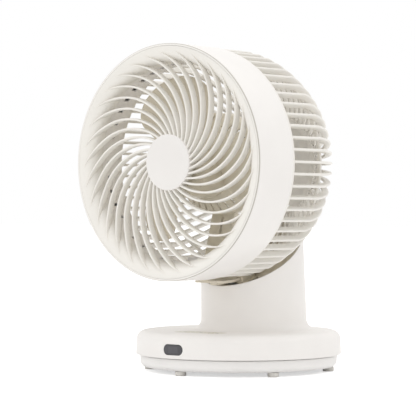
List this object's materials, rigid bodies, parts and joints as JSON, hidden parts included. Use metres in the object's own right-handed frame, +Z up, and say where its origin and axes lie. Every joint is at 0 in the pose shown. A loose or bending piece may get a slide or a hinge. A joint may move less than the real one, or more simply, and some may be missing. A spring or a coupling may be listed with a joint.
{
  "type": "air circulator fan",
  "caption": "Desk air circulator fan: drum head with spiral front grille and ribbed dome, tilting in the neck of a turning round base.",
  "frame": {"origin": "on the table under the middle of the round base, on the pan axis", "axes": "+Z up, -Y the way the air leaves at rest, +X to the fan's left as it faces you from the front right of the picture"},
  "size_m": [0.228, 0.2157, 0.3197],
  "materials": {
    "shell_plastic": "fine matt ivory-white moulding",
    "tray_plastic": "fine matt ivory-white moulding",
    "grille_plastic": "satin ivory moulding",
    "impeller_plastic": "satin cream moulding",
    "button_plastic": "matt ivory-white caps",
    "liner_plastic": "matt taupe moulding",
    "slip_plastic": "smooth natural bearing plastic",
    "black_plastic": "black moulding",
    "window_plastic": "glossy dark remote-control window",
    "board": "green circuit board",
    "foot_rubber": "light grey rubber",
    "trim": "thin satin metallic line",
    "motor_can": "satin",
    "steel": "plain steel"
  },
  "bodies": {
    "stand": {"bottom_tray": "tray_plastic", "ballast_plate": "steel", "rubber_feet": "foot_rubber", "pan_ring_gear": "slip_plastic", "bearing_ring": "slip_plastic", "pivot_screw": "steel", "dc_jack": "black_plastic", "ring_gear_screws": "steel"},
    "turntable": {"base_shell": "shell_plastic", "cradle_liner": "liner_plastic", "turntable_plate": "tray_plastic", "control_panel": "shell_plastic", "control_board": "board", "ir_window": "window_plastic", "ir_receiver": "black_plastic", "pan_motor": "steel", "tilt_motor": "steel", "tilt_frame": "liner_plastic", "rail_guides": "slip_plastic", "shell_screws": "steel"},
    "pan_drive": {"pan_pinion": "slip_plastic"},
    "tilt_drive": {"tilt_pinion": "slip_plastic"},
    "power_key": {"button_power": "button_plastic"},
    "speed_key": {"button_speed": "button_plastic"},
    "pan_key": {"button_pan": "button_plastic"},
    "tilt_key": {"button_tilt": "button_plastic"},
    "timer_key": {"button_timer": "button_plastic"},
    "head": {"front_grille": "grille_plastic", "hub_cap": "shell_plastic", "rim_trim": "trim", "shroud_band": "shell_plastic", "rear_grille_ribs": "grille_plastic", "rear_grille_frame": "grille_plastic", "rear_cap": "grille_plastic", "motor_mount": "grille_plastic", "motor_housing": "motor_can", "motor_stator": "steel", "motor_bearings": "steel", "tilt_rail": "liner_plastic", "head_screws": "steel"},
    "fan": {"impeller": "impeller_plastic", "spinner_nut": "impeller_plastic", "motor_shaft": "steel", "rotor": "steel"}
  },
  "joints": [
    {"name": "pan", "type": "hinge", "parent": "stand", "child": "turntable", "pos_m": [0, 0, 0], "axis": [0, 0, 1], "range_deg": [-45, 45]},
    {"name": "tilt", "type": "hinge", "parent": "turntable", "child": "head", "pos_m": [0, -0.039, 0.2057], "axis": [-1, 0, 0], "range_deg": [-15, 45]},
    {"name": "pan_drive_spin", "type": "hinge", "parent": "turntable", "child": "pan_drive", "pos_m": [0, 0.027, 0.0175], "axis": [0, 0, 1], "range_deg": [-181, 181]},
    {"name": "tilt_drive_spin", "type": "hinge", "parent": "turntable", "child": "tilt_drive", "pos_m": [0, -0.00228, 0.08559], "axis": [-1, 0, 0], "range_deg": [-840, 281]},
    {"name": "fan_spin", "type": "hinge", "parent": "head", "child": "fan", "pos_m": [0, -0.06, 0.2057], "axis": [0, -1, 0], "continuous": true},
    {"name": "power_press", "type": "slide", "parent": "turntable", "child": "power_key", "axis": [0, 0, -1], "range_m": [0, 0.0008], "stiffness_N_per_m": 800, "springref_m": -0.0005},
    {"name": "speed_press", "type": "slide", "parent": "turntable", "child": "speed_key", "axis": [0, 0, -1], "range_m": [0, 0.0008], "stiffness_N_per_m": 800, "springref_m": -0.0005},
    {"name": "pan_press", "type": "slide", "parent": "turntable", "child": "pan_key", "axis": [0, 0, -1], "range_m": [0, 0.0008], "stiffness_N_per_m": 800, "springref_m": -0.0005},
    {"name": "tilt_press", "type": "slide", "parent": "turntable", "child": "tilt_key", "axis": [0, 0, -1], "range_m": [0, 0.0008], "stiffness_N_per_m": 800, "springref_m": -0.0005},
    {"name": "timer_press", "type": "slide", "parent": "turntable", "child": "timer_key", "axis": [0, 0, -1], "range_m": [0, 0.0008], "stiffness_N_per_m": 800, "springref_m": -0.0005}
  ],
  "couplings": [
    {"joint": "pan_drive_spin", "follows": "pan", "ratio": -4},
    {"joint": "tilt_drive_spin", "follows": "tilt", "ratio": -18.625}
  ]
}
